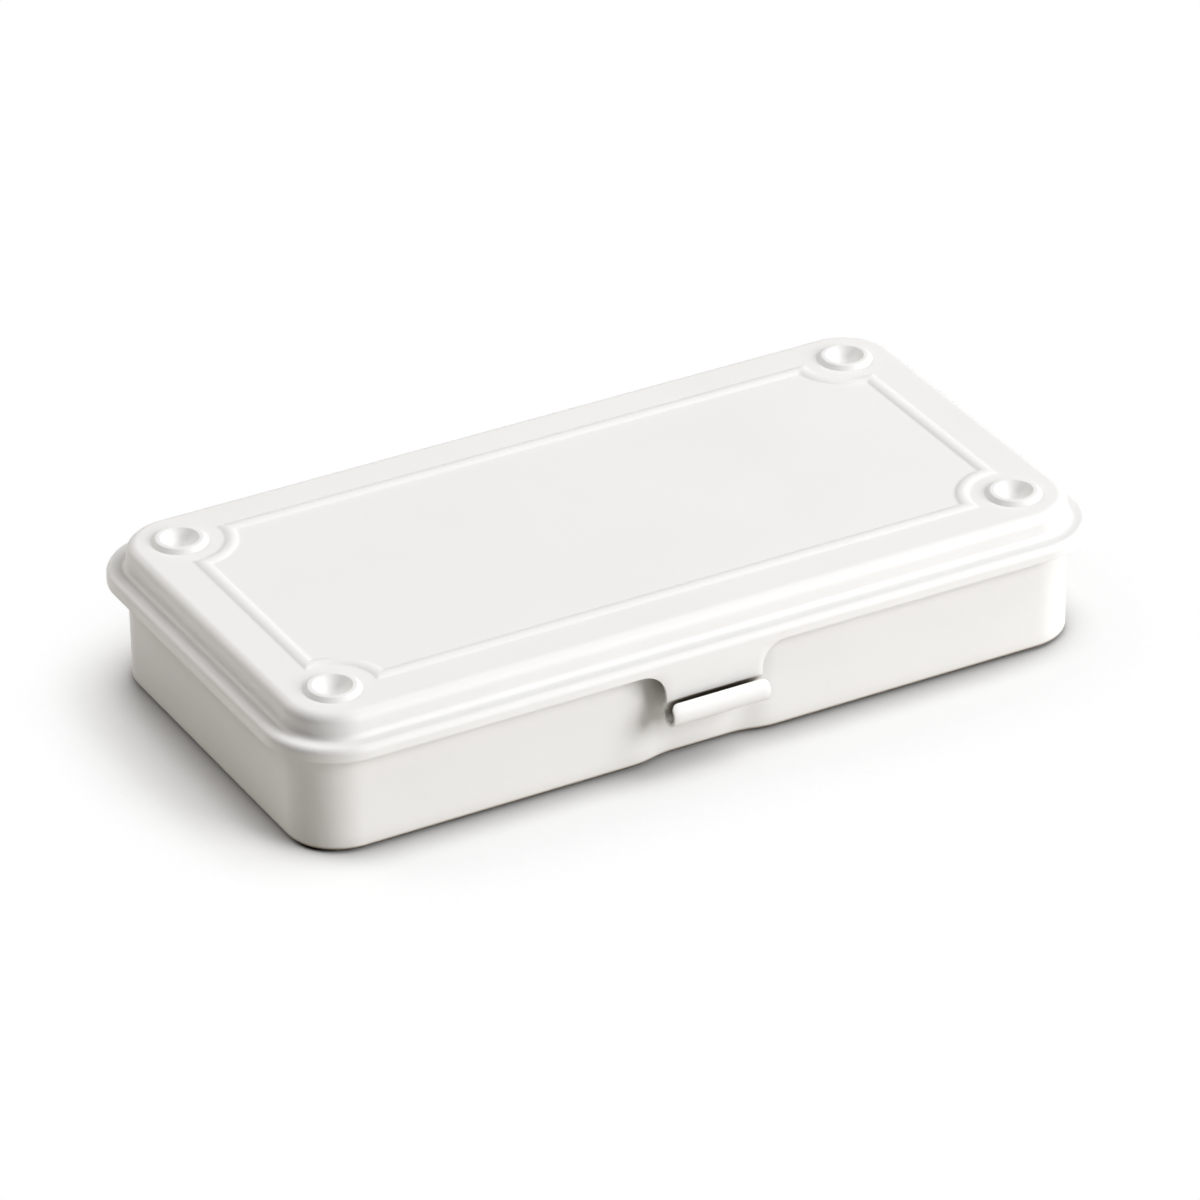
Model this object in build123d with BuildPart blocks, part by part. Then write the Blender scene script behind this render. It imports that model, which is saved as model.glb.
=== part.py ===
from build123d import *
import math
import os

os.makedirs("parts", exist_ok=True)

# A small pressed steel storage box: a deep drawn tray with a rolled rim, a stamped lid
# that caps it, and two pin hinges at the back. Millimetres, +Z up, the latch tab at -Y.
# The origin is on the table under the middle of the box.

# Pressed sheet of both shells
sheet = 0.7

# Lid in plan
lid_width = 203.0  # across the skirt, left to right
lid_depth = 107.8  # across the skirt, front to back
lid_corner = 17.2  # plan radius of the skirt's corners
step_inset = 4.5  # from the skirt's face in to the raised panel's wall

# Lid in height
step_height = 5.6  # raised panel above the flange
skirt_height = 3.15  # flange top down to the skirt's lower edge
panel_edge_radius = 2.5  # rounding round the raised panel
flange_radius = 1.6  # rounding from flange to skirt
foot_radius = 1.2  # hollow fillet where the panel's wall meets the flange

# Embossed border of the panel
bead_half_x = 84.85  # middle of the border, either side of the box's middle
bead_half_y = 37.1
bead_width = 3.8  # at its foot
bead_height = 0.6
bead_crown = 0.5  # width of the flat strip along its crest
bead_bands = 3  # flat bands that make up each rounded side
notch_radius = 11.5  # the border runs round each boss at this radius

# Stacking bosses at the border's corners
boss_foot_radius = 6.5
boss_crest_radius = 5.5
boss_height = 1.0
dimple_radius = 4.4  # mouth of the hollow in the middle of the boss
dimple_depth = 2.0  # below the crest
boss_rounding = 0.45

# Tray
tray_height = 27.3  # table to the top of the rolled rim
rim_radius = 1.475  # outside radius of the roll
rim_turn = 110.0  # how far under the roll its edge is tucked, degrees
skirt_gap = 1.65  # between the roll and the inside of the skirt
seat_gap = 0.3  # between the roll and the underside of the flange
base_radius = 1.8  # rounding between wall and base
stack_clearance = 0.4  # beside and above a boss that nests in the base

# Latch tab, drawn down from the front of the skirt
latch_offset = -1.0  # its middle lies this far left of the box's middle
latch_width = 23.8
latch_fillet = 6.0  # hollow corner between the skirt's edge and the tab
neck_length = 10.4  # flange top to the start of the bend
bend_radius = 0.6  # middle of the sheet, where the tab leaves the skirt's plane
bend_turn = 35.0  # how far it bends in, degrees
curl_radius = 2.5  # middle of the sheet in the curl
curl_turn = 60.0  # past the curl's outermost point, degrees
lip_gap = 1.0  # between the lip's edge and the neck
lip_corner = 1.5
catch_clearance = 0.3  # between the curl and the roll that it snaps under

# Finger recess in the tray's wall behind the tab
recess_half = 12.7  # to the middle of each sloping side
recess_depth = 1.6
recess_bend = 14.0  # plan radius of each turn
recess_drop = 0.35  # below the roll

# Hinges
hinge_x = 55.0  # either side of the box's middle
leaf = 0.6  # sheet of the hinge leaves
pin_radius = 1.0
pin_clearance = 0.05  # in the lid's knuckle; the tray's knuckles grip the pin
barrel_gap = 0.3  # between the knuckles and the lid's skirt and flange
knuckle_gap = 0.3  # between knuckles on one pin
lid_knuckle = 16.0  # length of the middle knuckle
tray_knuckle = 6.7  # length of each outer knuckle
tray_leaf_drop = 12.0  # from the pin down the back wall
leaf_corner = 2.0
rim_cut_gap = 1.0  # between a hinge and the roll's cut ends

# Heights and places that follow from those sizes
flange_z = tray_height + seat_gap + sheet
panel_z = flange_z + step_height
skirt_z = flange_z - skirt_height
half_x = lid_width / 2
half_y = lid_depth / 2
wall_inset = skirt_gap + 2 * rim_radius
wall_x = half_x - wall_inset
wall_y = half_y - wall_inset
rim_z = tray_height - rim_radius
rim_y = wall_y - sheet + 2 * rim_radius
recess_z = tray_height - 2 * rim_radius - recess_drop
bore_radius = pin_radius + pin_clearance
knuckle_radius = bore_radius + leaf
pin_y = half_y - sheet - barrel_gap - knuckle_radius
pin_z = flange_z - sheet - barrel_gap - knuckle_radius
hinge_length = lid_knuckle + 2 * knuckle_gap + 2 * tray_knuckle
neck_z = flange_z - neck_length
neck_y = half_y - sheet / 2
curl_y = rim_y + catch_clearance + curl_radius + sheet / 2
bend_sine = math.sin(math.radians(bend_turn))
bend_cosine = math.cos(math.radians(bend_turn))
slant = (neck_y - bend_radius - curl_y + (curl_radius + bend_radius) * bend_cosine) / bend_sine
curl_z = neck_z - (curl_radius + bend_radius) * bend_sine - slant * bend_cosine
lip_run = curl_y + curl_radius * math.cos(math.radians(curl_turn)) - half_y - lip_gap - sheet / 2
lip_length = lip_run / math.sin(math.radians(curl_turn))
nest_radius = boss_foot_radius + stack_clearance
nest_top_radius = boss_crest_radius + stack_clearance
nest_height = boss_height + stack_clearance
boss_seat = boss_foot_radius + 2 * boss_rounding
boss_root = 2 * dimple_depth
TOP = (Align.CENTER, Align.CENTER, Align.MAX)
BOTTOM = (Align.CENTER, Align.CENTER, Align.MIN)
BACK = (Align.CENTER, Align.MIN, Align.CENTER)
corners = [(x, y) for x in (-bead_half_x, bead_half_x) for y in (-bead_half_y, bead_half_y)]


def plan(level, inset):
    """The box's rounded rectangle at a level, this far inside the skirt's face."""
    with BuildSketch(Plane.XY.offset(level)) as face:
        RectangleRounded(lid_width - 2 * inset, lid_depth - 2 * inset, lid_corner - inset)
    return face.sketch


def recessed_plan(level, inset):
    """The tray's outline at a level, this far inside its wall's face, with the recess."""
    turn = math.acos(1 - recess_depth / (2 * recess_bend))
    run = 2 * recess_bend * math.sin(turn)
    x = wall_x - inset
    y = wall_y - inset
    radius = lid_corner - wall_inset - inset
    near = recess_bend - inset
    with BuildSketch(Plane.XY.offset(level)) as face:
        with BuildLine():
            for side in (-1, 1):
                mouth_x = latch_offset + side * (recess_half + run / 2)
                floor_x = latch_offset + side * (recess_half - run / 2)
                turn_x = mouth_x - side * near * math.sin(turn)
                turn_y = -y + near * (1 - math.cos(turn))
                slope = (-side * math.cos(turn), math.sin(turn))
                Line((side * x, 0), (side * x, radius - y))
                TangentArc((side * x, radius - y), (side * (x - radius), -y), tangent=(0, -1))
                Line((side * (x - radius), -y), (mouth_x, -y))
                TangentArc((mouth_x, -y), (turn_x, turn_y), tangent=(-side, 0))
                TangentArc((turn_x, turn_y), (floor_x, recess_depth - y), tangent=slope)
                Line((side * x, 0), (side * x, y - radius))
                TangentArc((side * x, y - radius), (side * (x - radius), y), tangent=(0, 1))
            Line((radius - x, y), (x - radius, y))
            Line(
                (latch_offset - recess_half + run / 2, recess_depth - y),
                (latch_offset + recess_half - run / 2, recess_depth - y),
            )
        make_face()
    return face.sketch


def border(level, grow):
    """The border's outline at a level: a rectangle with its corners bitten out in arcs."""
    with BuildSketch(Plane.XY.offset(level)) as face:
        Rectangle(2 * (bead_half_x + grow), 2 * (bead_half_y + grow))
        with Locations(*corners):
            Circle(notch_radius - grow, mode=Mode.SUBTRACT)
    return face.sketch


# Section of a boss: a bowl, its crest, the flank outside and the panel round it
with BuildPart() as boss_block:
    with BuildSketch(Plane.XZ):
        with BuildLine():
            mouth = (dimple_radius, boss_height)
            crest = (boss_crest_radius, boss_height)
            foot = (boss_foot_radius, 0)
            Polyline(mouth, crest, foot, (boss_seat, 0), (boss_seat, -boss_root), (0, -boss_root))
            Line((0, -boss_root), (0, boss_height - dimple_depth))
            TangentArc((0, boss_height - dimple_depth), mouth, tangent=(1, 0))
        section = make_face()
        rounded = [corner for corner in section.vertices() if (corner.X, corner.Y) in (mouth, crest, foot)]
        fillet(rounded, boss_rounding)
    revolve(axis=Axis.Z)
boss = boss_block.part


def bead_point(band):
    """Height and half width of the border's rounded section where a band of its side starts."""
    side = (bead_width - bead_crown) / 2
    steepest = 2 * math.atan2(bead_height, side)
    radius = side / math.sin(steepest)
    slope = steepest * (1 - band / bead_bands)
    return radius * (math.cos(slope) - math.cos(steepest)), bead_crown / 2 + radius * math.sin(slope)


def lid_form(drop):
    """The lid as a solid block; a drop of one sheet makes the hollow inside it."""
    panel = panel_z - drop
    flange = flange_z - drop
    with BuildPart() as form:
        extrude(plan(skirt_z, drop), amount=flange - skirt_z)
        fillet(form.edges().group_by(Axis.Z)[-1], flange_radius - drop)
        extrude(plan(flange, step_inset + drop), amount=step_height)
        fillet(form.edges().group_by(Axis.Z)[-1], panel_edge_radius - drop)
        foot = form.edges().filter_by_position(Axis.Z, flange, flange)
        inner = foot.filter_by(lambda edge: abs(edge.center().X) < half_x - step_inset)
        fillet(inner.filter_by(lambda edge: abs(edge.center().Y) < half_y - step_inset), foot_radius + drop)

        # Border, standing proud of the panel
        for band in range(bead_bands):
            low, outer = bead_point(band)
            high, inner = bead_point(band + 1)
            lean = math.degrees(math.atan2(outer - inner, high - low))
            extrude(border(panel + low, outer), amount=high - low, taper=lean)
        for band in range(bead_bands):
            low, outer = bead_point(band)
            high, inner = bead_point(band + 1)
            lean = math.degrees(math.atan2(outer - inner, high - low))
            inside = border(panel + low, -outer)
            extrude(inside, amount=high - low, taper=-lean, mode=Mode.SUBTRACT)

        # Bosses, each turned about its own axis and set into the panel
        places = [(x, y, panel) for x, y in corners]
        with Locations(*places):
            Cylinder(boss_seat, boss_root, align=TOP, mode=Mode.SUBTRACT)
            add(boss)
    return form.part


# Latch tab: a neck in the skirt's plane, then a bend in, a curl out and the lip

with BuildPart() as tab:
    with BuildSketch(Plane(origin=(latch_offset, -half_y, 0), x_dir=(1, 0, 0), z_dir=(0, -1, 0))):
        with BuildLine():
            top_z = flange_z - flange_radius
            spread = latch_width / 2 + latch_fillet
            Line((-latch_width / 2, neck_z), (latch_width / 2, neck_z))
            Line((-spread, top_z), (spread, top_z))
            for side in (-1, 1):
                edge = side * latch_width / 2
                Line((edge, neck_z), (edge, skirt_z - latch_fillet))
                TangentArc((edge, skirt_z - latch_fillet), (side * spread, skirt_z), tangent=(0, 1))
                Line((side * spread, skirt_z), (side * spread, top_z))
        make_face()
    extrude(amount=-sheet)

    right_edge = (latch_offset + latch_width / 2, 0, 0)
    with BuildSketch(Plane(origin=right_edge, x_dir=(0, -1, 0), z_dir=(-1, 0, 0))):
        with BuildLine():
            bend = CenterArc((neck_y - bend_radius, neck_z), bend_radius, 0, -bend_turn)
            curl = CenterArc((curl_y, curl_z), curl_radius, 180 - bend_turn, 180 + bend_turn + curl_turn)
            Line(bend @ 1, curl @ 0)
            Line(curl @ 1, curl @ 1 + lip_length * (curl % 1))
        trace(line_width=sheet)
    extrude(amount=latch_width)

    # Upper corners of the lip, rounded off
    outward = tab.vertices().filter_by(lambda point: point.Y < -half_y - lip_gap / 2)
    lip_z = outward.sort_by(Axis.Z)[-1].Z
    lip_face = (latch_offset, -half_y - lip_gap / 2, lip_z)
    with BuildSketch(Plane(origin=lip_face, x_dir=(1, 0, 0), z_dir=(0, -1, 0))):
        with Locations((-latch_width / 2, 0), (latch_width / 2, 0)):
            Rectangle(2 * lip_corner, 2 * lip_corner)
        middle = latch_width / 2 - lip_corner
        with Locations((-middle, -lip_corner), (middle, -lip_corner)):
            Circle(lip_corner, mode=Mode.SUBTRACT)
    extrude(amount=2 * curl_radius, mode=Mode.SUBTRACT)

# Lid, one stamped shell with the tab

lid_block = lid_form(0)
lid_hollow = lid_form(sheet)
with BuildPart() as lid:
    add(lid_block)
    add(lid_hollow, mode=Mode.SUBTRACT)
    add(tab.part)
lid.part.label = "lid"
export_step(lid.part, "parts/lid.step")

# Tray, deep drawn, its upper edge rolled outwards and tucked under

with BuildPart() as tray_hollow:
    extrude(recessed_plan(sheet, sheet), amount=recess_z)
    fillet(tray_hollow.edges().group_by(Axis.Z)[0], base_radius - sheet)
    extrude(plan(recess_z + sheet, wall_inset + sheet), amount=rim_z - recess_z)

with BuildPart() as tray:
    extrude(recessed_plan(0, 0), amount=recess_z)
    fillet(tray.edges().group_by(Axis.Z)[0], base_radius)
    extrude(plan(recess_z, wall_inset), amount=rim_z - recess_z)
    add(tray_hollow.part, mode=Mode.SUBTRACT)

    # Nests under the base, where the bosses of a box below come to lie
    with Locations(*corners):
        Cone(nest_radius + sheet, nest_top_radius + sheet, nest_height + sheet, align=BOTTOM)
        Cone(nest_radius, nest_top_radius, nest_height, align=BOTTOM, mode=Mode.SUBTRACT)

    # Roll, cut away behind each hinge
    roll_line = plan(rim_z, wall_inset + sheet - rim_radius).wire()
    ahead = roll_line % 0
    roll_plane = Plane(origin=roll_line @ 0, x_dir=ahead.cross(Vector(0, 0, 1)), z_dir=-ahead)
    with BuildSketch(roll_plane):
        with BuildLine():
            outside = CenterArc((0, 0), rim_radius, 180, -180 - rim_turn)
            inside = CenterArc((0, 0), rim_radius - sheet, 180, -180 - rim_turn)
            Line(outside @ 0, inside @ 0)
            Line(outside @ 1, inside @ 1)
        make_face()
    sweep(path=roll_line)
    with Locations((-hinge_x, wall_y, rim_z), (hinge_x, wall_y, rim_z)):
        Box(hinge_length + 2 * rim_cut_gap, 4 * rim_radius, 4 * rim_radius, align=BACK, mode=Mode.SUBTRACT)
tray.part.label = "tray"
export_step(tray.part, "parts/tray.step")


# Hinges, made at the box's middle and set out to either side

def knuckle(start, length, bore):
    """One ring of a hinge, from this x along the pin."""
    with BuildPart() as ring:
        with BuildSketch(Plane(origin=(start, pin_y, pin_z), x_dir=(0, 1, 0), z_dir=(1, 0, 0))):
            Circle(knuckle_radius)
            Circle(bore, mode=Mode.SUBTRACT)
        extrude(amount=length)
    return ring.part


tray_starts = (-hinge_length / 2, hinge_length / 2 - tray_knuckle)
tray_rings = [knuckle(start, tray_knuckle, pin_radius) for start in tray_starts]
with BuildPart() as tray_leaf:
    with BuildSketch(Plane(origin=(0, wall_y, pin_z), x_dir=(-1, 0, 0), z_dir=(0, 1, 0))) as plate:
        with Locations((0, -tray_leaf_drop / 2)):
            Rectangle(hinge_length, tray_leaf_drop)
        fillet(plate.vertices().group_by(Axis.Y)[0], leaf_corner)
        Rectangle(lid_knuckle + 2 * knuckle_gap, 2 * (knuckle_radius + knuckle_gap), mode=Mode.SUBTRACT)
    extrude(amount=leaf)
    for ring in tray_rings:
        add(ring)

lid_ring = knuckle(-lid_knuckle / 2, lid_knuckle, bore_radius)
with BuildPart() as lid_leaf:
    add(lid_ring)
    with Locations((0, half_y - sheet, skirt_z)):
        Box(lid_knuckle, leaf, pin_z + leaf - skirt_z, align=(Align.CENTER, Align.MAX, Align.MIN))

with BuildPart() as pin:
    with BuildSketch(Plane(origin=(-hinge_length / 2, pin_y, pin_z), x_dir=(0, 1, 0), z_dir=(1, 0, 0))):
        Circle(pin_radius)
    extrude(amount=hinge_length)

for side, x in (("left", -hinge_x), ("right", hinge_x)):
    for piece, shape in (("tray_leaf", tray_leaf), ("lid_leaf", lid_leaf), ("pin", pin)):
        placed = Pos(x, 0, 0) * shape.part
        placed.label = f"{side}_hinge_{piece}"
        export_step(placed, f"parts/{side}_hinge_{piece}.step")
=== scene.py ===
import math

import bmesh
import bpy
from mathutils import Matrix, Vector


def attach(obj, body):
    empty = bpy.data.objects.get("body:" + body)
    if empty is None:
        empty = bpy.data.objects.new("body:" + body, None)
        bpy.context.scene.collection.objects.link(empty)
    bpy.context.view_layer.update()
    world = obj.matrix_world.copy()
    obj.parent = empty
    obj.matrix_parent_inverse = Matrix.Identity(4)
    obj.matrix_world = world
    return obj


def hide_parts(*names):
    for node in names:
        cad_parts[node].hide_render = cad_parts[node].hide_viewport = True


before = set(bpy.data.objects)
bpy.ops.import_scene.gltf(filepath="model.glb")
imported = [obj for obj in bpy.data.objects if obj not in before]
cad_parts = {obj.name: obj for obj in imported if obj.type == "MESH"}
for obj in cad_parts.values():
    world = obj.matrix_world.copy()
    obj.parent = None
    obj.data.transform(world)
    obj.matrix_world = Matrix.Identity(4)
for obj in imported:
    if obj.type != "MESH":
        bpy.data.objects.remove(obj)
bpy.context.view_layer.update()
scene = bpy.context.scene
scene.view_settings.view_transform = "Standard"


# Camera. A long lens from the front left, 30 degrees above the table, a little turned
# about its own axis, as the box's straight edges in the photograph ask for.
heading, height, roll = math.radians(-28.26), math.radians(29.76), math.radians(-1.0)
aim = Vector((-0.01747, -0.03262, 0.0339))
back = Vector((math.sin(heading) * math.cos(height), -math.cos(heading) * math.cos(height),
               math.sin(height)))
right = Vector((0, 0, 1)).cross(back).normalized()
up = back.cross(right)
turned_right = right * math.cos(roll) + up * math.sin(roll)
turned_up = up * math.cos(roll) - right * math.sin(roll)
distance = 1.63509
camera = bpy.data.objects.new("camera", bpy.data.cameras.new("camera"))
camera.data.lens = 226.13
camera.data.sensor_width = 36
camera.data.clip_end = 20
camera.matrix_world = Matrix.Translation(aim + back * distance) @ Matrix(
    (turned_right, turned_up, back)).transposed().to_4x4()
scene.collection.objects.link(camera)
scene.camera = camera


# Floor. A smooth white studio table under the base. The camera sees it lighter than it
# is for the light on the box, with a painted shadow darkest in a crisp line round the
# foot, and white painted over the cast shadow from about 50 mm away from the box.
def new_material(name):
    material = bpy.data.materials.new(name)
    material.use_nodes = True
    material.node_tree.nodes.clear()
    return material, material.node_tree.nodes, material.node_tree.links


floor_mesh = bmesh.new()
bmesh.ops.create_grid(floor_mesh, x_segments=1, y_segments=1, size=4.0)
floor_data = bpy.data.meshes.new("floor")
floor_mesh.to_mesh(floor_data)
floor_mesh.free()
floor = bpy.data.objects.new("floor", floor_data)
scene.collection.objects.link(floor)
floor_white, nodes, links = new_material("floor_white")
path = nodes.new("ShaderNodeLightPath")
seen = nodes.new("ShaderNodeMath")
seen.operation = "MAXIMUM"
links.new(path.outputs["Is Camera Ray"], seen.inputs[0])
links.new(path.outputs["Is Glossy Ray"], seen.inputs[1])
shade = nodes.new("ShaderNodeMix")
shade.data_type = "RGBA"
shade.inputs["A"].default_value = (0.73, 0.70, 0.65, 1)
shade.inputs["B"].default_value = (1, 1, 1, 1)
# Painted shadow: for the camera, the floor's colour darkens where the box closes in within 10 mm.
contact_occlusion = nodes.new("ShaderNodeAmbientOcclusion")
contact_occlusion.samples = 16
contact_occlusion.inputs["Distance"].default_value = 0.010
painted_contact_shadow = nodes.new("ShaderNodeValToRGB")
painted_contact_shadow.color_ramp.elements[0].position = 0.48
painted_contact_shadow.color_ramp.elements[0].color = (0.44, 0.44, 0.44, 1)
painted_contact_shadow.color_ramp.elements[1].position = 0.98
painted_contact_shadow.color_ramp.elements[1].color = (0.86, 0.86, 0.86, 1)
links.new(contact_occlusion.outputs["AO"], painted_contact_shadow.inputs["Fac"])
links.new(painted_contact_shadow.outputs["Color"], shade.inputs["B"])
links.new(seen.outputs[0], shade.inputs["Factor"])
matte = nodes.new("ShaderNodeBsdfDiffuse")
links.new(shade.outputs["Result"], matte.inputs["Color"])
# Painted light: for the camera, white emission is painted over the cast shadow where the box closes in
# little within 50 mm.
open_sky = nodes.new("ShaderNodeAmbientOcclusion")
open_sky.samples = 16
open_sky.inputs["Distance"].default_value = 0.05
far = nodes.new("ShaderNodeMapRange")
far.inputs["From Min"].default_value = 0.48
far.inputs["From Max"].default_value = 0.86
links.new(open_sky.outputs["AO"], far.inputs["Value"])
fade = nodes.new("ShaderNodeMath")
fade.operation = "MULTIPLY"
links.new(far.outputs["Result"], fade.inputs[0])
links.new(seen.outputs[0], fade.inputs[1])
paper = nodes.new("ShaderNodeEmission")
paper.inputs["Color"].default_value = (1, 1, 1, 1)
paper.inputs["Strength"].default_value = 1
cover = nodes.new("ShaderNodeMixShader")
links.new(fade.outputs[0], cover.inputs["Fac"])
links.new(matte.outputs[0], cover.inputs[1])
links.new(paper.outputs[0], cover.inputs[2])
out = nodes.new("ShaderNodeOutputMaterial")
links.new(cover.outputs[0], out.inputs["Surface"])
floor_data.materials.append(floor_white)


# Light. A soft box low at the front right lights the long wall, one above the right end
# the lid, and a dim warm one behind the left end all that the first two leave dark.
def soft_box(name, place, size, power, colour=(1, 1, 1)):
    lamp = bpy.data.lights.new(name, "AREA")
    lamp.shape = "SQUARE"
    lamp.size = size
    lamp.energy = power
    lamp.color = colour
    holder = bpy.data.objects.new(name, lamp)
    towards_box = Vector((0, 0, 0.02)) - Vector(place)
    aimed = towards_box.to_track_quat("-Z", "Y").to_matrix().to_4x4()
    holder.matrix_world = Matrix.Translation(place) @ aimed
    scene.collection.objects.link(holder)


soft_box("front_box", (1.996, -2.465, 1.479), 1.9, 115)
soft_box("top_box", (2.026, -0.357, 2.832), 2.0, 71)
soft_box("back_box", (-1.024, 1.773, 1.434), 1.4, 37, (1, 0.97, 0.925))
room = bpy.data.worlds.new("room")
room.use_nodes = True
room.node_tree.nodes["Background"].inputs["Color"].default_value = (1, 1, 1, 1)
room.node_tree.nodes["Background"].inputs["Strength"].default_value = 0.01
scene.world = room


# Paint. Off-white baked enamel with a satin face: a faint orange peel, a drift of tone
# that the eye hardly finds, a slightly thinner, greyer film along the pressed edges, and
# a painted shade, warm and dark, in the narrowest nooks, such as the slot behind the
# latch tab.
def enamel(name, colour):
    material, nodes, links = new_material(name)
    place = nodes.new("ShaderNodeTexCoord")
    out = nodes.new("ShaderNodeOutputMaterial")
    face = nodes.new("ShaderNodeBsdfPrincipled")
    face.inputs["IOR"].default_value = 1.5
    face.inputs["Specular IOR Level"].default_value = 0.3
    links.new(face.outputs[0], out.inputs["Surface"])

    drift = nodes.new("ShaderNodeTexNoise")
    drift.inputs["Scale"].default_value = 28
    drift.inputs["Detail"].default_value = 4
    links.new(place.outputs["Object"], drift.inputs["Vector"])
    tone = nodes.new("ShaderNodeValToRGB")
    tone.color_ramp.elements[0].position = 0.3
    tone.color_ramp.elements[0].color = (colour[0] * 0.985, colour[1] * 0.984, colour[2] * 0.982, 1)
    tone.color_ramp.elements[1].position = 0.7
    tone.color_ramp.elements[1].color = (*colour, 1)
    links.new(drift.outputs["Fac"], tone.inputs["Fac"])

    edge = nodes.new("ShaderNodeNewGeometry")
    thin = nodes.new("ShaderNodeValToRGB")
    thin.color_ramp.elements[0].position = 0.52
    thin.color_ramp.elements[0].color = (0, 0, 0, 1)
    thin.color_ramp.elements[1].position = 0.62
    thin.color_ramp.elements[1].color = (1, 1, 1, 1)
    links.new(edge.outputs["Pointiness"], thin.inputs["Fac"])
    wear = nodes.new("ShaderNodeTexNoise")
    wear.inputs["Scale"].default_value = 160
    wear.inputs["Detail"].default_value = 3
    links.new(place.outputs["Object"], wear.inputs["Vector"])
    amount = nodes.new("ShaderNodeMath")
    amount.operation = "MULTIPLY"
    links.new(thin.outputs["Color"], amount.inputs[0])
    links.new(wear.outputs["Fac"], amount.inputs[1])
    worn = nodes.new("ShaderNodeMix")
    worn.data_type = "RGBA"
    worn.inputs["B"].default_value = (colour[0] * 0.95, colour[1] * 0.95, colour[2] * 0.945, 1)
    links.new(amount.outputs[0], worn.inputs["Factor"])
    links.new(tone.outputs["Color"], worn.inputs["A"])

    # Painted shade: the colour turns warm and near black where nearby sheet closes in within 8 mm.
    nook = nodes.new("ShaderNodeAmbientOcclusion")
    nook.samples = 8
    nook.inputs["Distance"].default_value = 0.008
    painted_shade_ramp = nodes.new("ShaderNodeValToRGB")
    painted_shade_ramp.color_ramp.elements[0].position = 0.24
    painted_shade_ramp.color_ramp.elements[0].color = (0.06, 0.045, 0.03, 1)
    painted_shade_ramp.color_ramp.elements[1].position = 0.54
    painted_shade_ramp.color_ramp.elements[1].color = (1, 1, 1, 1)
    middle = painted_shade_ramp.color_ramp.elements.new(0.40)
    middle.color = (0.62, 0.55, 0.46, 1)
    links.new(nook.outputs["AO"], painted_shade_ramp.inputs["Fac"])
    with_painted_shade = nodes.new("ShaderNodeMix")
    with_painted_shade.data_type = "RGBA"
    with_painted_shade.blend_type = "MULTIPLY"
    with_painted_shade.inputs["Factor"].default_value = 1
    links.new(worn.outputs["Result"], with_painted_shade.inputs["A"])
    links.new(painted_shade_ramp.outputs["Color"], with_painted_shade.inputs["B"])
    links.new(with_painted_shade.outputs["Result"], face.inputs["Base Color"])

    gloss = nodes.new("ShaderNodeMapRange")
    gloss.inputs["To Min"].default_value = 0.46
    gloss.inputs["To Max"].default_value = 0.54
    links.new(drift.outputs["Fac"], gloss.inputs["Value"])
    links.new(gloss.outputs["Result"], face.inputs["Roughness"])

    peel = nodes.new("ShaderNodeTexNoise")
    peel.inputs["Scale"].default_value = 900
    peel.inputs["Detail"].default_value = 1
    links.new(place.outputs["Object"], peel.inputs["Vector"])
    relief = nodes.new("ShaderNodeBump")
    relief.inputs["Strength"].default_value = 0.12
    relief.inputs["Distance"].default_value = 0.00002
    links.new(peel.outputs["Fac"], relief.inputs["Height"])
    links.new(relief.outputs["Normal"], face.inputs["Normal"])
    return material


# Tools for pressed sheet: a row of points or edges is drawn along a straight, or turned
# about an axis, and leaves sheet behind it.
def draw(mesh, ends, step, pieces=1):
    for _ in range(pieces):
        if isinstance(ends[0], bmesh.types.BMEdge):
            made = bmesh.ops.extrude_edge_only(mesh, edges=ends)["geom"]
        else:
            made = bmesh.ops.extrude_vert_indiv(mesh, verts=ends)["verts"]
        moved = [part for part in made if isinstance(part, bmesh.types.BMVert)]
        bmesh.ops.translate(mesh, verts=moved, vec=Vector(step) / pieces)
        kind = type(ends[0])
        ends = [part for part in made if isinstance(part, kind)]
    return ends


def turn(mesh, ends, centre, axis, degrees, pieces):
    made = bmesh.ops.spin(mesh, geom=ends, cent=centre, axis=axis, angle=math.radians(degrees),
                          steps=pieces)
    kind = type(ends[0])
    return [part for part in made["geom_last"] if isinstance(part, kind)]


# Lid. One stamping in 0.7 mm steel: skirt, flange, raised panel with its embossed
# border and four stacking bosses, and the latch tab curled up at the front.
sheet = 0.0007
corner_x, corner_y = 0.0843, 0.0367
skirt_low, flange_low, flange_high, panel_high = 0.02515, 0.0267, 0.0283, 0.0339
press = bmesh.new()
start = [press.verts.new((0.0939, corner_y, panel_high))]
tip = draw(press, start, (0.0004, 0, 0))
tip = draw(press, tip, (0.0002, 0, 0))
tip = turn(press, tip, (0.0945, corner_y, panel_high - 0.0025), (0, 1, 0), 90, 12)
tip = draw(press, tip, (0, 0, -0.0019), 3)
tip = turn(press, tip, (0.0982, corner_y, flange_high + 0.0012), (0, 1, 0), -90, 8)
tip = draw(press, tip, (0.0017, 0, 0), 3)
tip = turn(press, tip, (0.0999, corner_y, flange_low), (0, 1, 0), 90, 10)
tip = draw(press, tip, (0, 0, -0.00015))
tip = draw(press, tip, (0, 0, -0.00125))
tip = draw(press, tip, (0, 0, -0.00015))
row = list(press.edges)

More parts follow.
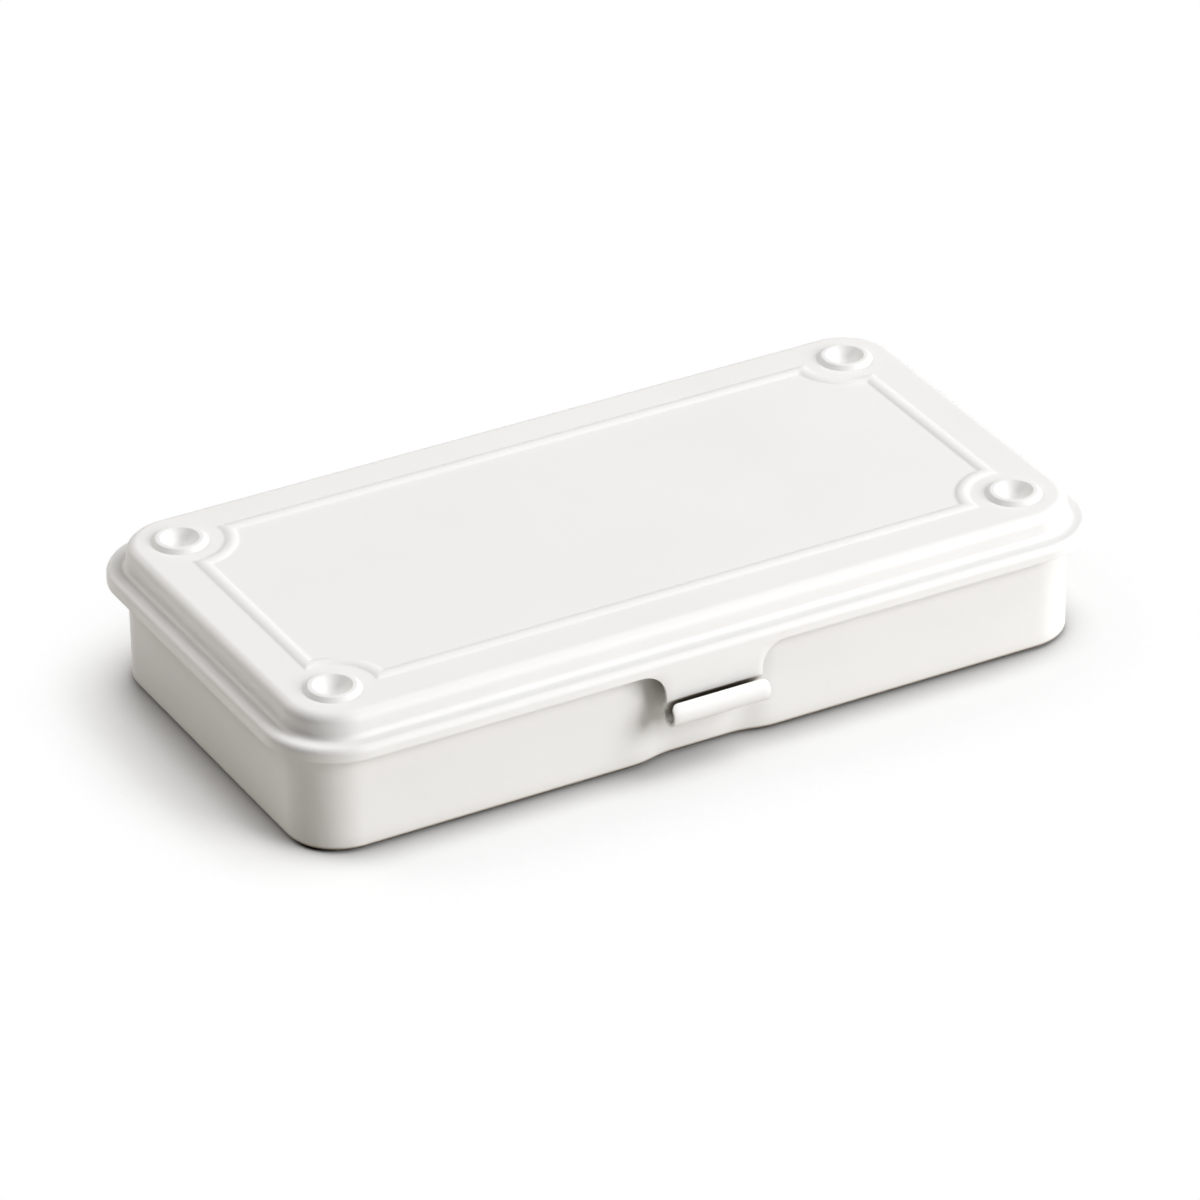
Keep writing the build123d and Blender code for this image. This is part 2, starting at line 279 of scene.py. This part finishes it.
# Across the front, the sheet is drawn in strips: plain, fillet, tab edge, tab, and back
latch_middle, latch_half, fillet_r, tab_edge = -0.001, 0.0119, 0.0060, 0.00175
latch_left, latch_right = latch_middle - latch_half, latch_middle + latch_half
stops = [latch_left - fillet_r, latch_left, latch_left + tab_edge,
         latch_right - tab_edge, latch_right, latch_right + fillet_r, corner_x]
row = turn(press, row, (corner_x, corner_y, 0), (0, 0, 1), 90, 24)
row = draw(press, row, (-2 * corner_x, 0, 0))
row = turn(press, row, (-corner_x, corner_y, 0), (0, 0, 1), 90, 24)
row = draw(press, row, (0, -2 * corner_y, 0))
row = turn(press, row, (-corner_x, -corner_y, 0), (0, 0, 1), 90, 24)
reached = -corner_x
for stop in stops:
    row = draw(press, row, (stop - reached, 0, 0))
    reached = stop
row = turn(press, row, (corner_x, -corner_y, 0), (0, 0, 1), 90, 24)
row = draw(press, row, (0, 2 * corner_y, 0))
bmesh.ops.remove_doubles(press, verts=press.verts, dist=1e-6)


def at(mesh, point):
    return min(mesh.verts, key=lambda vert: (vert.co - Vector(point)).length)


def between(mesh, first, last):
    return mesh.edges.get((at(mesh, first), at(mesh, last)))


# The tab leaves the skirt's lower edge, bends in, curls out and ends in the lip
front = -0.0539
neck_z, bend_y, bend_z, curl_y, curl_r = skirt_low - fillet_r, -0.05295, 0.0179, -0.05469, 0.0031
edges = [between(press, (stops[i], front, skirt_low), (stops[i + 1], front, skirt_low))
         for i in (1, 2, 3)]
tab = draw(press, edges, (0, 0, neck_z - skirt_low))
tab = draw(press, tab, (0, 0, bend_z - neck_z))
bend_in = 35
inward = Vector((0, math.sin(math.radians(bend_in)), -math.cos(math.radians(bend_in))))
tab = turn(press, tab, (0, bend_y, bend_z), (1, 0, 0), bend_in, 6)
slant = (curl_y - bend_y - curl_r * inward.z) / inward.y
tab = draw(press, tab, inward * slant, 2)
curl_z = bend_z + slant * inward.z - curl_r * inward.y
tab = turn(press, tab, (0, curl_y, curl_z), (1, 0, 0), -(bend_in + 216), 26)
lip_rows = [tab]
for _ in range(3):
    tab = turn(press, tab, (0, curl_y, curl_z), (1, 0, 0), -8, 1)
    lip_rows.append(tab)
lip_length = 0.00058
lip_way = Vector((0, math.sin(math.radians(60)), math.cos(math.radians(60))))
for _ in range(5):
    tab = draw(press, tab, lip_length / 5 * lip_way)
    lip_rows.append(tab)

# The lip's two corners are rounded: each row ends further in, the nearer it is to the lip
lip_corner, row_step = 0.0015, 0.0004
spans = [lip_length + row_step * (3 - i) for i in range(3)]
spans += [lip_length * (5 - i) / 5 for i in range(6)]
for edge_row, left_over in zip(lip_rows, spans):
    if left_over < lip_corner:
        pull = lip_corner - math.sqrt(lip_corner ** 2 - (lip_corner - left_over) ** 2)
        for vert in {vert for edge in edge_row for vert in edge.verts}:
            side = vert.co.x - latch_middle
            if abs(side) > latch_half - 0.0001:
                vert.co.x -= math.copysign(pull, side)

# A fillet at each side, filled in between the skirt's edge and the tab's
for side, near, far in ((1, stops[1], stops[0]), (-1, stops[4], stops[5])):
    pivot = Vector((far, front, neck_z))
    turn(press, [press.verts.new((far, front, skirt_low))], pivot, (0, 1, 0), side * 90, 10)
    bmesh.ops.remove_doubles(press, verts=press.verts, dist=1e-6)
    loop = [edge for edge in press.edges
            if all(abs((vert.co - pivot).length - fillet_r) < 1e-6 for vert in edge.verts)]
    loop += [between(press, (near, front, skirt_low), (far, front, skirt_low)),
             between(press, (near, front, skirt_low), (near, front, neck_z))]
    bmesh.ops.contextual_create(press, geom=loop)


# The border is drawn across its width in rows, each a line round the whole panel
border_x, border_y, notch_r, border_half = 0.08485, 0.0371, 0.0115, 0.0019


def border_line(offset, height):
    radius = notch_r - offset
    lean = math.degrees(math.asin(offset / radius))
    line = []
    for side_x, side_y in ((1, 1), (-1, 1), (-1, -1), (1, -1)):
        arc = []
        for i in range(21):
            angle = math.radians(-lean + (90 + 2 * lean) * i / 20)
            x = border_x - radius * math.sin(angle)
            y = border_y - radius * math.cos(angle)
            arc.append(Vector((side_x * x, side_y * y, panel_high + height)))
        line += arc if side_x * side_y > 0 else arc[::-1]
    # The long straights get points near their ends, to keep the shading of the notches off them
    shares = (0.004, 0.012, 0.04, 0.5, 0.96, 0.988, 0.996)
    spaced = []
    for i, point in enumerate(line):
        spaced.append(line[i - 1])
        if (point - line[i - 1]).length > 0.010:
            spaced += [line[i - 1].lerp(point, share) for share in shares]
    return spaced


# Its section: flat sheet, a hollow at the foot, and a low arc over the crown
border_high, foot_run = 0.00045, 0.0005
steepest = 2 * math.atan2(border_high, border_half)
crown_r = (border_half - foot_run) / math.sin(steepest)
foot_r = foot_run / math.sin(steepest)
rises = [(border_half + 0.00035, 0)]
for i in range(5):
    slope = steepest * i / 4
    rises.append((border_half - foot_r * math.sin(slope), foot_r * (1 - math.cos(slope))))
for i in range(1, 9):
    slope = steepest * (1 - i / 8)
    rises.append((crown_r * math.sin(slope), border_high - crown_r * (1 - math.cos(slope))))
rises += [(-offset, height) for offset, height in reversed(rises[:-1])]

verts = [press.verts.new(place) for place in border_line(*rises[0])]
inner_row = [press.edges.new((verts[i - 1], verts[i])) for i in range(len(verts))]
for offset, height in rises[1:]:
    made = bmesh.ops.extrude_edge_only(press, edges=inner_row)["geom"]
    fresh = {part for part in made if isinstance(part, bmesh.types.BMVert)}
    verts = [next(edge.other_vert(vert) for edge in vert.link_edges if edge.other_vert(vert) in fresh)
             for vert in verts]
    for vert, place in zip(verts, border_line(offset, height)):
        vert.co = place
    inner_row = [press.edges.get((verts[i - 1], verts[i])) for i in range(len(verts))]

# Each boss is spun about its own axis, from the panel round it to the bottom of its bowl
foot_slope, crest_r, bowl_slope, bowl_flat = 44, 0.0006, 42, 0.0026
crest = Vector((0.00519, 0, 0.0004))
crest_start = crest + crest_r * Vector((math.sin(math.radians(foot_slope)), 0,
                                        math.cos(math.radians(foot_slope))))
bowl_fall = Vector((1, 0, math.tan(math.radians(bowl_slope))))
for side_x in (1, -1):
    for side_y in (1, -1):
        centre = Vector((side_x * border_x, side_y * border_y, panel_high))
        before = set(press.edges)
        tip = [press.verts.new(centre + Vector((0.0069, 0, 0)))]
        tip = draw(press, tip, (-0.00035, 0, 0))
        tip = turn(press, tip, centre + Vector((0.00655, 0, 0.0002)), (0, 1, 0), foot_slope, 4)
        foot = tip[0].co - centre
        tip = draw(press, tip, crest_start - foot)
        tip = turn(press, tip, centre + crest, (0, 1, 0), -foot_slope, 6)
        tip = draw(press, tip, (-0.00066, 0, 0))
        tip = turn(press, tip, centre + Vector((0.00453, 0, 0.00065)), (0, 1, 0), -bowl_slope, 5)
        mouth = tip[0].co - centre
        tip = draw(press, tip, (bowl_flat - mouth.x) * bowl_fall, 4)
        pivot = tip[0].co + bowl_flat * Vector((-1, 0, 1 / math.tan(math.radians(bowl_slope))))
        tip = turn(press, tip, pivot, (0, 1, 0), bowl_slope, 6)
        profile = [edge for edge in press.edges if edge not in before]
        bmesh.ops.spin(press, geom=profile, cent=centre, axis=(0, 0, 1), angle=math.tau, steps=48,
                       use_merge=True)
        bmesh.ops.remove_doubles(press, verts=press.verts, dist=2e-6)

# Flat sheet of the panel between those forms
inside = set(inner_row)
rim = [edge for edge in press.edges if edge.is_boundary and edge not in inside
       and all(vert.co.z > panel_high - 1e-6 for vert in edge.verts)]
bmesh.ops.triangle_fill(press, edges=rim, use_beauty=True)
bmesh.ops.triangle_fill(press, edges=inner_row, use_beauty=True)


def finish_sheet(mesh, name, body, material, up_face):
    """Turns the drawn sheet's faces outwards, gives it its gauge and rounds its cut edges."""
    bmesh.ops.recalc_face_normals(mesh, faces=mesh.faces)
    mesh.faces.ensure_lookup_table()
    facing = min(mesh.faces, key=lambda face: (face.calc_center_median() - Vector(up_face)).length)
    if facing.normal.z < 0:
        bmesh.ops.reverse_faces(mesh, faces=mesh.faces)
    for face in mesh.faces:
        face.smooth = True
    data = bpy.data.meshes.new(name)
    mesh.to_mesh(data)
    mesh.free()
    piece = bpy.data.objects.new(name, data)
    scene.collection.objects.link(piece)
    wall = piece.modifiers.new("gauge", "SOLIDIFY")
    wall.thickness = sheet
    wall.offset = -1
    wall.use_even_offset = True
    wall.use_quality_normals = True
    round_off = piece.modifiers.new("cut_edge", "BEVEL")
    round_off.width = 0.00012
    round_off.segments = 2
    round_off.limit_method = "ANGLE"
    round_off.angle_limit = math.radians(60)
    data.materials.append(material)
    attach(piece, body)
    return piece


paint = enamel("satin_enamel", (0.82, 0.818, 0.813))
lid = finish_sheet(press, "lid_pressing", "lid_body", paint, (0, 0, panel_high))
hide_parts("lid")


# Tray. Deep drawn in the same sheet, with its upper edge rolled outwards and tucked
# under, a finger recess behind the latch tab and four nests in its base.
tray_press = bmesh.new()
floor_z, wall_x, rim_r, rim_z = 0.0007, 0.0962, 0.001475, 0.025825
tip = [tray_press.verts.new((wall_x - 0.0017, corner_y, floor_z))]
tip = draw(tray_press, tip, (0.0004, 0, 0))
tip = draw(tray_press, tip, (0.0002, 0, 0))
tip = turn(tray_press, tip, (wall_x - 0.0011, corner_y, floor_z + 0.0011), (0, 1, 0), -90, 8)
tip = draw(tray_press, tip, (0, 0, 0.0182), 6)
tip = draw(tray_press, tip, (0, 0, 0.0040), 8)
tip = draw(tray_press, tip, (0, 0, rim_z - 0.0240))
tip = turn(tray_press, tip, (wall_x + rim_r, corner_y, rim_z), (0, 1, 0), 290, 24)
row = list(tray_press.edges)

recess_middle, recess_half, recess_run, recess_deep = latch_middle, 0.0127, 0.0112, 0.0016
recess_top, recess_fade = 0.0240, 0.0030
hinge_x, hinge_half = 0.055, 0.016
row = turn(tray_press, row, (corner_x, corner_y, 0), (0, 0, 1), 90, 24)
reached = corner_x
for stop in (hinge_x + hinge_half, hinge_x - hinge_half, hinge_half - hinge_x,
             -hinge_half - hinge_x, -corner_x):
    row = draw(tray_press, row, (stop - reached, 0, 0))
    reached = stop
row = turn(tray_press, row, (-corner_x, corner_y, 0), (0, 0, 1), 90, 24)
row = draw(tray_press, row, (0, -2 * corner_y, 0))
row = turn(tray_press, row, (-corner_x, -corner_y, 0), (0, 0, 1), 90, 24)
reached = -corner_x
left_foot = recess_middle - recess_half - recess_run / 2
right_foot = recess_middle + recess_half - recess_run / 2
for stop, pieces in ((left_foot, 1), (left_foot + recess_run, 16), (right_foot, 1),
                     (right_foot + recess_run, 16), (corner_x, 1)):
    row = draw(tray_press, row, (stop - reached, 0, 0), pieces)
    reached = stop
row = turn(tray_press, row, (corner_x, -corner_y, 0), (0, 0, 1), 90, 24)
row = draw(tray_press, row, (0, 2 * corner_y, 0))
bmesh.ops.remove_doubles(tray_press, verts=tray_press.verts, dist=1e-6)

# Recess, pressed in from the front: two soft bends at each side, fading out under the roll
for vert in tray_press.verts:
    if vert.co.y < -corner_y and vert.co.z < 0.0243:
        across = abs(vert.co.x - recess_middle) - recess_half + recess_run / 2
        side = 1 - min(max(across / recess_run, 0), 1)
        fade = min(max((recess_top - vert.co.z) / recess_fade, 0), 1)
        bend = 2 * side ** 2 if side < 0.5 else 1 - 2 * (1 - side) ** 2
        press_in = bend * fade ** 2 * (3 - 2 * fade)
        if abs(vert.co.x - recess_middle) < recess_half + recess_run:
            vert.co.y += recess_deep * press_in

# Roll, cut away behind each hinge
cut_out = [face for face in tray_press.faces if face.calc_center_median().y > 0.0493
           and hinge_x - hinge_half < abs(face.calc_center_median().x) < hinge_x + hinge_half]
bmesh.ops.delete(tray_press, geom=cut_out, context="FACES")

# Nests of the base, each spun about its own axis
nest_slope, nest_reach, nest_r = 58, 0.0084, 0.0008
nest_crest = Vector((0.0060, 0, 0.0006))
nest_start = nest_crest + nest_r * Vector((math.sin(math.radians(nest_slope)), 0,
                                           math.cos(math.radians(nest_slope))))
nest_edges = []
for side_x in (1, -1):
    for side_y in (1, -1):
        centre = Vector((side_x * border_x, side_y * border_y, floor_z))
        before = set(tray_press.edges)
        tip = [tray_press.verts.new(centre + Vector((nest_reach, 0, 0)))]
        tip = draw(tray_press, tip, (-0.0003, 0, 0))
        tip = turn(tray_press, tip, centre + Vector((0.0081, 0, nest_r)), (0, 1, 0), nest_slope, 6)
        foot = tip[0].co - centre
        tip = draw(tray_press, tip, nest_start - foot)
        tip = turn(tray_press, tip, centre + nest_crest, (0, 1, 0), -nest_slope, 6)
        tip = draw(tray_press, tip, (-0.0003, 0, 0))
        tip = draw(tray_press, tip, (-tip[0].co.x + centre.x, 0, 0))
        profile = [edge for edge in tray_press.edges if edge not in before]
        bmesh.ops.spin(tray_press, geom=profile, cent=centre, axis=(0, 0, 1), angle=math.tau, steps=40,
                       use_merge=True)
        bmesh.ops.remove_doubles(tray_press, verts=tray_press.verts, dist=2e-6)
        nest_edges += [
            edge for edge in tray_press.edges if edge.is_boundary
            and all(abs((vert.co - centre).length - nest_reach) < 1e-5 for vert in edge.verts)]

# Flat sheet of the base between the nests
inside = set(nest_edges)
base_rim = [edge for edge in tray_press.edges if edge.is_boundary and edge not in inside
            and all(vert.co.z < floor_z + 1e-6 for vert in edge.verts)]
bmesh.ops.triangle_fill(tray_press, edges=base_rim + nest_edges, use_beauty=True)
tray = finish_sheet(tray_press, "tray_pressing", "tray_body", paint, (0, 0, floor_z))
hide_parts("tray")


# Hinges. Two painted leaves each on a plain wire pin, spot welded to the shells before
# they are painted, so that only the pins' ends are bare steel.
for side in ("left", "right"):
    for leaf in ("tray_leaf", "lid_leaf"):
        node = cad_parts[f"{side}_hinge_{leaf}"]
        node.data.materials.clear()
        node.data.materials.append(paint)

wire, nodes, links = new_material("pin_wire")
place = nodes.new("ShaderNodeTexCoord")
out = nodes.new("ShaderNodeOutputMaterial")
steel = nodes.new("ShaderNodeBsdfPrincipled")
steel.inputs["Metallic"].default_value = 1.0
links.new(steel.outputs[0], out.inputs["Surface"])
stretch = nodes.new("ShaderNodeMapping")
stretch.inputs["Scale"].default_value = (20, 900, 900)
links.new(place.outputs["Object"], stretch.inputs["Vector"])
scratch = nodes.new("ShaderNodeTexNoise")
scratch.inputs["Scale"].default_value = 1
scratch.inputs["Detail"].default_value = 4
links.new(stretch.outputs["Vector"], scratch.inputs["Vector"])
tint = nodes.new("ShaderNodeValToRGB")
tint.color_ramp.elements[0].color = (0.42, 0.41, 0.40, 1)
tint.color_ramp.elements[1].color = (0.62, 0.62, 0.61, 1)
links.new(scratch.outputs["Fac"], tint.inputs["Fac"])
links.new(tint.outputs["Color"], steel.inputs["Base Color"])
rough = nodes.new("ShaderNodeMapRange")
rough.inputs["To Min"].default_value = 0.28
rough.inputs["To Max"].default_value = 0.45
links.new(scratch.outputs["Fac"], rough.inputs["Value"])
links.new(rough.outputs["Result"], steel.inputs["Roughness"])
lines = nodes.new("ShaderNodeBump")
lines.inputs["Strength"].default_value = 0.2
lines.inputs["Distance"].default_value = 0.00002
links.new(scratch.outputs["Fac"], lines.inputs["Height"])
links.new(lines.outputs["Normal"], steel.inputs["Normal"])
for side in ("left", "right"):
    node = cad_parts[f"{side}_hinge_pin"]
    node.data.materials.clear()
    node.data.materials.append(wire)
